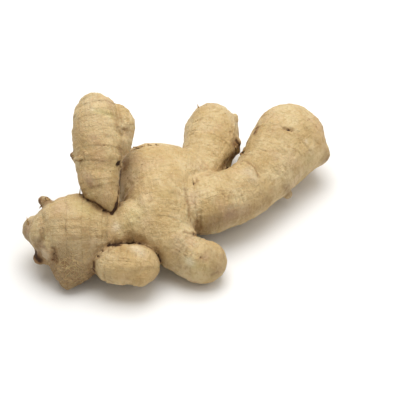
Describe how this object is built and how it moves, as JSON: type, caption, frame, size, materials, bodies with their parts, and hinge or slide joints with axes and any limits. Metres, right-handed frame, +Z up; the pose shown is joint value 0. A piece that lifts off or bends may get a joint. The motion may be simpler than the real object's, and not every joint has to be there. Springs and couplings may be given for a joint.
{
  "type": "ginger root",
  "caption": "Whole fresh ginger rhizome lying on a surface: thick ringed fingers and knuckles branching from one body, with a shorter finger rising behind.",
  "frame": {"origin": "on the surface that the root lies on, under the middle of its bounding box", "axes": "+X runs along the root's longest reach, from the old knuckle to the largest finger; +Y points to the side away from the short front fingers; +Z is up, off the surface"},
  "size_m": [0.1538, 0.1199, 0.0711],
  "materials": {
    "ginger_skin": "matte, thin papery skin"
  },
  "bodies": {
    "root": {"ginger_root": "ginger_skin"}
  },
  "joints": []
}
